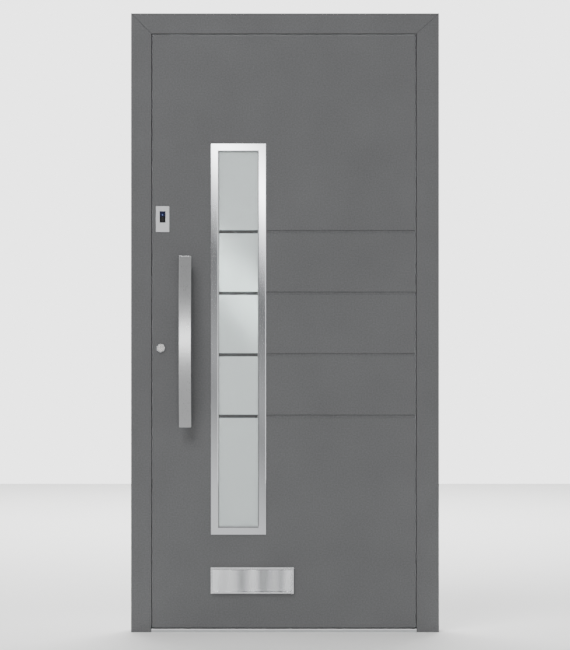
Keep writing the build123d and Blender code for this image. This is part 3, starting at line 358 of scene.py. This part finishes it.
# Meshes from grids of points
def grid_mesh(name, grids, finish, close_u=False, close_v=True, caps=True):
    """One mesh from grids of points, with a row for each u and a column for each v.

    Each square of four neighbours is a face. A closed direction joins its last line to its first, and a cap
    fills the first and the last row with one flat face. The faces are then turned outwards.
    """
    corners, faces = [], []
    for points in grids:
        rows, columns = points.shape[:2]
        start = sum(len(part) for part in corners)
        u = np.arange(rows if close_u else rows - 1)
        v = np.arange(columns if close_v else columns - 1)
        uu, vv = np.meshgrid(u, v, indexing="ij")
        nu, nv = (uu + 1) % rows, (vv + 1) % columns
        square = [uu * columns + vv, nu * columns + vv, nu * columns + nv, uu * columns + nv]
        faces += (np.stack(square, axis=-1).reshape(-1, 4) + start).tolist()
        if caps:
            faces.append((start + np.arange(columns)).tolist())
            faces.append((start + (rows - 1) * columns + np.arange(columns)[::-1]).tolist())
        corners.append(points.reshape(-1, 3))
    mesh = bpy.data.meshes.new(name)
    mesh.from_pydata(np.concatenate(corners).tolist(), [], faces)
    mesh.materials.append(finish)
    shell = bmesh.new()
    shell.from_mesh(mesh)
    bmesh.ops.recalc_face_normals(shell, faces=shell.faces)
    shell.to_mesh(mesh)
    shell.free()
    made = bpy.data.objects.new(name, mesh)
    bpy.context.scene.collection.objects.link(made)
    return made


def piece(name, grids, finish, body, slot, replaced=(), **closed):
    """A grid mesh that rides on a body, with the given finish, and may stand for CAD nodes. Its slot is not
    used.
    """
    made = grid_mesh(name, grids, finish, **closed)
    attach(made, body)
    if replaced:
        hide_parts(*replaced)
    return made


def turned(centre, axis, profile, segments=48):
    """A grid for a turned form: each (radius, height) of the profile goes round the axis.

    A point is the centre, plus its height along the axis, plus its radius times the cosine and the sine of
    the angle along two directions square to the axis.
    """
    axis = np.asarray(axis, float)
    first = np.cross(axis, (0.3, 0.5, 0.8))
    first /= np.linalg.norm(first)
    second = np.cross(axis, first)
    angle = np.linspace(0, 2 * np.pi, segments, endpoint=False)
    around = np.outer(np.cos(angle), first) + np.outer(np.sin(angle), second)
    radius, height = np.asarray(profile, float).T
    return (
        np.asarray(centre, float)
        + radius[:, None, None] * around[None]
        + height[:, None, None] * axis[None, None]
    )


def rounded_rim(width, height, radius, steps=6):
    """The rim of a rectangle with round corners.

    The angle runs once round. A point is the centre of its quarter's corner circle plus the radius times
    the cosine and sine of the angle.
    """
    start = np.arange(4)[:, None] * np.pi / 2
    angle = start + np.linspace(0, np.pi / 2, steps)[None]
    middle = start + np.pi / 4
    first = np.sign(np.cos(middle)) * (width / 2 - radius) + radius * np.cos(angle)
    second = np.sign(np.sin(middle)) * (height / 2 - radius) + radius * np.sin(angle)
    return first.ravel(), second.ravel()


def eased_levels(low, high, radius, inner, steps=5):
    """Levels from low to high, close together at the ends, and how far the section draws in at each.

    Near an end the section draws in by a quarter circle: radius times one minus the sine of the angle, at
    radius times one minus its cosine from the end.
    """
    angle = np.linspace(0, np.pi / 2, steps)
    step = radius * (1 - np.cos(angle))
    draw = radius * (1 - np.sin(angle))
    levels = np.concatenate([low + step, np.linspace(low + radius, high - radius, inner)[1:-1],
                             high - step[::-1]])
    drawn = np.concatenate([draw, np.zeros(inner - 2), draw[::-1]])
    return levels, drawn


# Pull bar
BAR_THICK = 9 * MM
BAR_EDGE = 1.3 * MM
BAR_LEVELS = 40


def bowed_bar():
    """The flat bar between two arcs, cut level at its ends.

    At each height the back and the front lie on arcs of circles with one axis, and the section between
    them is a rectangle with round corners.
    """
    low, high = (np.array(corner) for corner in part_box("pull_bar"))
    half = (high[2] - low[2]) / 2
    middle = (high + low) / 2
    rise = high[1] - low[1] - BAR_THICK
    back_radius = (half**2 + rise**2) / (2 * rise)
    axis_y = low[1] + BAR_THICK + back_radius
    levels, drawn = eased_levels(low[2], high[2], BAR_EDGE, BAR_LEVELS)
    off = levels - middle[2]
    back = axis_y - np.sqrt(back_radius**2 - off**2)
    front = axis_y - np.sqrt((back_radius + BAR_THICK) ** 2 - off**2)
    across, through = rounded_rim(high[0] - low[0], BAR_THICK, BAR_EDGE)
    shrink_x = 1 - 2 * drawn / (high[0] - low[0])
    shrink_y = 1 - 2 * drawn / BAR_THICK
    x = middle[0] + across[None] * shrink_x[:, None]
    depth = (back - front)[:, None] / BAR_THICK
    y = (back + front)[:, None] / 2 + through[None] * shrink_y[:, None] * depth
    z = np.broadcast_to(levels[:, None], x.shape)
    return np.stack([x, y, z], axis=-1)


piece("pull_bar_bowed", [bowed_bar()], STEEL_BAR, "leaf", "steel_satin", ["pull_bar"])

# Cylinder rose: a ring domed towards its rim
ROSE_FIT = 0.1 * MM
ROSE_CHAMFER = 0.8 * MM
DOME_SHARE = 0.62
RIM_SHARE = 0.25
rose_low, rose_high = (np.array(corner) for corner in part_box("cylinder_rose"))
body_low, body_high = (np.array(corner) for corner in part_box("cylinder_body"))
rose_radius = (rose_high[0] - rose_low[0]) / 2
rose_thick = rose_high[1] - rose_low[1]
rose_bore = (body_high[0] - body_low[0]) / 2 + ROSE_FIT
dome = np.linspace(0, np.pi / 2, 8)
dome_width = DOME_SHARE * (rose_radius - rose_bore)
dome_radius = rose_radius - dome_width * (1 - np.cos(dome))
dome_height = rose_thick * (RIM_SHARE + (1 - RIM_SHARE) * np.sin(dome))
rose_profile = np.concatenate(
    [
        [[rose_bore, 0.0], [rose_radius, 0.0]],
        np.stack([dome_radius, dome_height], axis=-1),
        [[rose_bore + ROSE_CHAMFER, rose_thick], [rose_bore, rose_thick - ROSE_CHAMFER]],
    ]
)
rose_centre = ((rose_low[0] + rose_high[0]) / 2, rose_high[1], (rose_low[2] + rose_high[2]) / 2)
piece(
    "cylinder_rose_domed", [turned(rose_centre, (0, -1, 0), rose_profile, 64)], STEEL_TRIM, "leaf",
    "steel_satin", ["cylinder_rose"], close_u=True, caps=False,
)

# Fingerprint reader: a blue filter over the upper part of the sensor, and its lamp
# The drops are measured down from the module's top.
FILTER_WIDTH = 19.6 * MM
FILTER_TOP_DROP = 9 * MM
FILTER_FOOT_DROP = 28 * MM
FILTER_THICK = 0.4 * MM
FILTER_EDGE = 0.15 * MM
FILTER_CORNER = 0.8 * MM
LAMP_DROP = 21.5 * MM
LAMP_PROFILE = np.array([[2.6, -0.1], [2.6, 0.0], [2.2, 0.08], [1.2, 0.12], [0.4, 0.13]]) * MM
plate_low, plate_high = (np.array(corner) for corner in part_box("reader_plate"))
module_low, module_high = (np.array(corner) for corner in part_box("reader_module"))
reader_x = (plate_low[0] + plate_high[0]) / 2
filter_height = FILTER_FOOT_DROP - FILTER_TOP_DROP
filter_middle = module_high[2] - (FILTER_FOOT_DROP + FILTER_TOP_DROP) / 2
levels, drawn = eased_levels(0.0, FILTER_THICK, FILTER_EDGE, 4, 4)
across, upward = rounded_rim(FILTER_WIDTH, filter_height, FILTER_CORNER)
# Only the outer edge is rounded: the inner half of the levels keeps its full width
outward = drawn.copy()
outward[: len(drawn) // 2] = 0.0
filter_grid = np.stack(
    [
        reader_x + across[None] * (1 - 2 * outward / FILTER_WIDTH)[:, None],
        np.broadcast_to((module_low[1] - levels)[:, None], (len(levels), len(across))),
        filter_middle + upward[None] * (1 - 2 * outward / filter_height)[:, None],
    ],
    axis=-1,
)
piece("reader_filter", [filter_grid], BLUE_GLOSS, "leaf", "module_plastic")
lamp_centre = (reader_x, module_low[1] - FILTER_THICK, module_high[2] - LAMP_DROP)
piece(
    "reader_lamp", [turned(lamp_centre, (0, -1, 0), LAMP_PROFILE, 24)], LAMP_LENS, "leaf",
    "module_plastic",
)

# Letter flaps: sheet with a rolled lip along its foot, hung on a bar
FLAP_SHEET = 1.6 * MM
FLAP_CURL = 5.0 * MM
HANG_RADIUS = 2.4 * MM
PIN_RADIUS = 1.5 * MM
PIN_REACH = 3.0 * MM


def flap(node, side):
    """The sheet and the hanging bar of one flap; side is -1 outside and 1 inside.

    The sheet's middle line runs down from the bar and then outwards along a quarter circle. Half the
    thickness is laid off square to it on both sides, and the outline is carried along X.
    """
    low, high = (np.array(corner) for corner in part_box(node))
    near = high[1] if side < 0 else low[1]
    bar_y = near + side * HANG_RADIUS
    bar_z = high[2] - HANG_RADIUS
    sheet_y = bar_y + side * (HANG_RADIUS - FLAP_SHEET / 2)
    curl_z = low[2] + FLAP_SHEET / 2 + FLAP_CURL
    turn = np.linspace(0, np.pi / 2, 12)
    line_y = np.concatenate([[sheet_y], sheet_y + side * FLAP_CURL * (1 - np.cos(turn))])
    line_z = np.concatenate([[bar_z], curl_z - FLAP_CURL * np.sin(turn)])
    square_y = np.concatenate([[side], side * np.cos(turn)])
    square_z = np.concatenate([[0.0], np.sin(turn)])
    half = FLAP_SHEET / 2
    outline_y = np.concatenate([line_y + half * square_y, (line_y - half * square_y)[::-1]])
    outline_z = np.concatenate([line_z + half * square_z, (line_z - half * square_z)[::-1]])
    x = np.array([low[0] + PIN_REACH, high[0] - PIN_REACH])
    sheet = np.stack(
        [
            np.broadcast_to(x[:, None], (2, len(outline_y))),
            np.broadcast_to(outline_y[None], (2, len(outline_y))),
            np.broadcast_to(outline_z[None], (2, len(outline_z))),
        ],
        axis=-1,
    )
    length = x[1] - x[0]
    profile = [
        (PIN_RADIUS, -PIN_REACH), (PIN_RADIUS, 0.0), (HANG_RADIUS, 0.0), (HANG_RADIUS, length),
        (PIN_RADIUS, length), (PIN_RADIUS, length + PIN_REACH),
    ]
    return [sheet], [turned((x[0], bar_y, bar_z), (1, 0, 0), profile, 24)]


for node, side, body in (
    ("letter_flap_outer", -1, "flap_outside"),
    ("letter_flap_inner", 1, "flap_inside"),
):
    sheet, bar = flap(node, side)
    piece(node + "_sheet", sheet, STEEL_FLAP, body, "steel_satin", [node])
    piece(node + "_bar", bar, STEEL_FLAP, body, "steel_satin", [node])

# Screws: raised heads with a hexagon socket
HEAD_RADIUS = 4.0 * MM
SOCKET_RADIUS = 1.7 * MM
HEAD_PROFILE = [(1.0, -0.1), (1.0, 0.18), (0.86, 0.3), (0.62, 0.36)]
SOCKET_HEIGHTS = (0.36, 0.1)
HEAD_SEGMENTS = 24


def screw(centre, axis):
    """A grid for one screw head.

    Its profile and the heights of its socket are shares of the head's radius. Its rows are circles up the
    head's rim and in to the socket, whose rows follow a hexagon: the radius there is the socket's over the
    cosine of the angle from the middle of the nearest side.
    """
    profile = [(r * HEAD_RADIUS, h * HEAD_RADIUS) for r, h in HEAD_PROFILE]
    points = turned(centre, axis, profile, HEAD_SEGMENTS)
    flat = turned((0, 0, 0), axis, [(1.0, 0.0)], HEAD_SEGMENTS)[0]
    angle = np.linspace(0, 2 * np.pi, HEAD_SEGMENTS, endpoint=False)
    hexagon = SOCKET_RADIUS / np.cos((angle % (np.pi / 3)) - np.pi / 6)
    socket = [
        np.asarray(centre) + flat * hexagon[:, None] + height * HEAD_RADIUS * np.asarray(axis, float)
        for height in SOCKET_HEIGHTS
    ]
    return np.concatenate([points, np.array(socket)])


def middle_of(node):
    """The middle of a node's box and its lowest and highest corners."""
    low, high = (np.array(corner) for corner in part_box(node))
    return (low + high) / 2, low, high


# The faceplate's screws are heights above the floor, clear of its bolts.
STRIKE_SCREW_INSET = 8 * MM
STRIKE_SCREW_DEPTH = 9 * MM
FACEPLATE_SCREWS = (0.215, 0.294, 1.101, 1.826, 1.945)
PLATE_SCREW_INSET = 12 * MM

strike_heads = []
for node in ("strike_main", "strike_lower", "strike_upper"):
    _, low, high = middle_of(node)
    for z in (low[2] + STRIKE_SCREW_INSET, high[2] - STRIKE_SCREW_INSET):
        strike_heads.append(screw((high[0], high[1] - STRIKE_SCREW_DEPTH, z), (1, 0, 0)))
piece("strike_screws", strike_heads, ZINC, "frame", "zinc_steel")

middle, low, high = middle_of("lock_faceplate")
piece(
    "faceplate_screws",
    [screw((low[0], middle[1], z), (-1, 0, 0)) for z in FACEPLATE_SCREWS],
    ZINC, "leaf", "zinc_steel",
)

middle, low, high = middle_of("handle_plate")
piece(
    "handle_plate_screws",
    [
        screw((middle[0], high[1], z), (0, 1, 0))
        for z in (low[2] + PLATE_SCREW_INSET, high[2] - PLATE_SCREW_INSET)
    ],
    ZINC, "leaf", "zinc_steel",
)

# Hinges: their screws, and a domed cap on each end of each barrel
HINGE_HALF = 63 * MM
FLANGE_THICK = 5.5 * MM
FLANGE_SCREW_INSET = 17 * MM
FLANGE_SCREW_RISE = 49 * MM
CAP_PROFILE = np.array([[10.4, 0.0], [10.4, 1.4], [9.6, 2.6], [7.4, 3.5], [4.0, 4.0], [0.6, 4.1]]) * MM
pin_middle, pin_low, pin_high = middle_of("hinge_pins")
hinge_heights = (pin_low[2] + HINGE_HALF, pin_middle[2], pin_high[2] - HINGE_HALF)
_, fixed_low, fixed_high = middle_of("hinge_frame_parts")
_, moving_low, _ = middle_of("hinge_leaf_parts")
flange_face = fixed_low[1] + FLANGE_THICK
for name, x, body in (
    ("hinge_frame_screws", fixed_high[0] - FLANGE_SCREW_INSET, "frame"),
    ("hinge_leaf_screws", moving_low[0] + FLANGE_SCREW_INSET, "leaf"),
):
    heads = [
        screw((x, flange_face, z + side * FLANGE_SCREW_RISE), (0, 1, 0))
        for z in hinge_heights
        for side in (-1, 1)
    ]
    piece(name, heads, ZINC, body, "zinc_steel")
caps = [
    turned((pin_middle[0], pin_middle[1], z + side * HINGE_HALF), (0, 0, side), CAP_PROFILE, 40)
    for z in hinge_heights
    for side in (-1, 1)
]
piece("hinge_caps", caps, COAT_INNER, "frame", "coat_inner")

# Stage: a plain pale floor
FLOOR_HALF = 9.0
FLOOR_FRONT, FLOOR_BACK = -1.3, 9.0
floor_x, floor_y = np.meshgrid([-FLOOR_HALF, FLOOR_HALF], [FLOOR_FRONT, FLOOR_BACK], indexing="ij")
floor_points = np.stack([floor_x, floor_y, np.zeros_like(floor_x)], axis=-1)
floor = grid_mesh("studio_floor", [floor_points], FLOOR_FINISH, close_v=False, caps=False)

# Studio room: the steel mirrors a panel before the door, lit in soft slanting bands
# From below: a pale wall, a dark gap with a faint strip, a strip lamp with its glow, and a dim wall. Each
# entry is a level in degrees and its brightness. A direction's level is its height above the horizon plus
# WALL_SLANT times its way to the right, so the bands slant.
WALL_BANDS = [
    (-9.0, 1.0), (-5.0, 1.0), (-3.0, 0.4), (-2.2, 0.55), (0.1, 0.2), (0.8, 0.9), (1.5, 2.5),
    (2.3, 9.5), (3.4, 3.0), (4.6, 0.9), (7.0, 0.4), (20.0, 0.3),
]
WALL_SLANT = 1.05
WALL_FROM, WALL_TO = -10.0, 20.0
# The panel is narrow, so that its bright bands hardly light the door. Its edge and blur, and the turns from
# the back wall to the front wall and up to the ceiling, are parts of a direction's unit length.
PANEL_EDGE, PANEL_BLUR = 0.06, 0.04
SIDE_FROM, SIDE_TO = 0.05, -0.15
CEILING_FROM, CEILING_TO = 0.4, 0.6
FRONT_WALL = 0.6
BACK_WALL = 3.3
CEILING = 0.2

world = bpy.data.worlds.new("pale_studio")
bpy.context.scene.world = world
world.use_nodes = True
room = world.node_tree
direction = add(room, "SeparateXYZ", {"Vector": add(room, "TexCoord").outputs["Generated"]})


def ramp_from(value, low, high):
    """A socket that rises from 0 to 1 while the value goes from low to high."""
    return add(room, "MapRange", {"Value": value, "From Min": low, "From Max": high}).outputs[0]


def mixed_colour(share, first, second):
    """The first colour, and the given share of the second in its place."""
    return add(room, "Mix", {"Factor": share, 6: first, 7: second}, data_type="RGBA").outputs[2]


slanted = add(
    room, "Math", {0: direction.outputs["X"], 1: WALL_SLANT, 2: direction.outputs["Z"]},
    operation="MULTIPLY_ADD",
)
level = ramp_from(slanted.outputs[0], math.radians(WALL_FROM), math.radians(WALL_TO))
bands = add(room, "ValToRGB", {"Fac": level})
stops = bands.color_ramp.elements
while len(stops) < len(WALL_BANDS):
    stops.new(0.5)
for stop, (height, _) in zip(stops, WALL_BANDS):
    stop.position = (height - WALL_FROM) / (WALL_TO - WALL_FROM)
for stop, (_, bright) in zip(stops, WALL_BANDS):
    stop.color = grey(bright)
aside = add(room, "Math", {0: direction.outputs["X"]}, operation="ABSOLUTE").outputs[0]
panel = ramp_from(aside, PANEL_EDGE + PANEL_BLUR, PANEL_EDGE)
front = mixed_colour(panel, grey(FRONT_WALL), bands.outputs[0])
before = ramp_from(direction.outputs["Y"], SIDE_FROM, SIDE_TO)
walls = mixed_colour(before, grey(BACK_WALL), front)
overhead = ramp_from(direction.outputs["Z"], CEILING_FROM, CEILING_TO)
whole = mixed_colour(overhead, walls, grey(CEILING))
room.links.new(whole, room.nodes["Background"].inputs["Color"])
room.nodes["Background"].inputs["Strength"].default_value = 1.0


def area_light(name, place, aim, size, power, spin=0.0):
    """A soft rectangular lamp at a place, turned to an aim point and then spun in degrees about Y."""
    lamp = bpy.data.lights.new(name, "AREA")
    lamp.shape = "RECTANGLE"
    lamp.size, lamp.size_y = size
    lamp.energy = power
    made = bpy.data.objects.new(name, lamp)
    bpy.context.scene.collection.objects.link(made)
    made.location = place
    step = [a - b for a, b in zip(aim, place)]
    flat = math.hypot(step[0], step[1])
    turn = math.atan2(-step[0], step[1])
    made.rotation_euler = (math.atan2(flat, -step[2]), math.radians(spin), turn)


# Studio light: a high lamp from the left, a soft box on each side of the camera, a slanting lamp in the
# hall whose glow shows through the satin pane, and a lamp over the floor behind
area_light("key_lamp", (-3.2, -6.6, 9.6), (0.0, 0.0, 1.1), (4.6, 4.6), 1000.0)
for side in (-1, 1):
    area_light("soft_box", (1.5 * side, -9.5, 1.15), (0.0, 0.0, 1.0), (0.8, 0.9), 60.0)
area_light("hall_lamp", (-0.18, 0.8, 1.244), (-0.18, 0.0, 1.244), (0.9, 0.16), 13.0, -45.0)
area_light("back_lamp", (0.0, 5.5, 5.0), (0.0, 5.4, 0.0), (6.0, 4.0), 900.0)

# Camera at the photograph's angle: straight on, at half the door's height
CAMERA_AWAY = 9.71
CAMERA_HEIGHT = 1.097
camera_data = bpy.data.cameras.new("photo_camera")
camera_data.sensor_fit = "VERTICAL"
camera_data.sensor_height = 24.0
camera_data.lens = 100.0
camera = bpy.data.objects.new("photo_camera", camera_data)
bpy.context.scene.collection.objects.link(camera)
camera.location = (0.0, -CAMERA_AWAY, CAMERA_HEIGHT)
camera.rotation_euler = (math.pi / 2, 0.0, 0.0)
bpy.context.scene.camera = camera
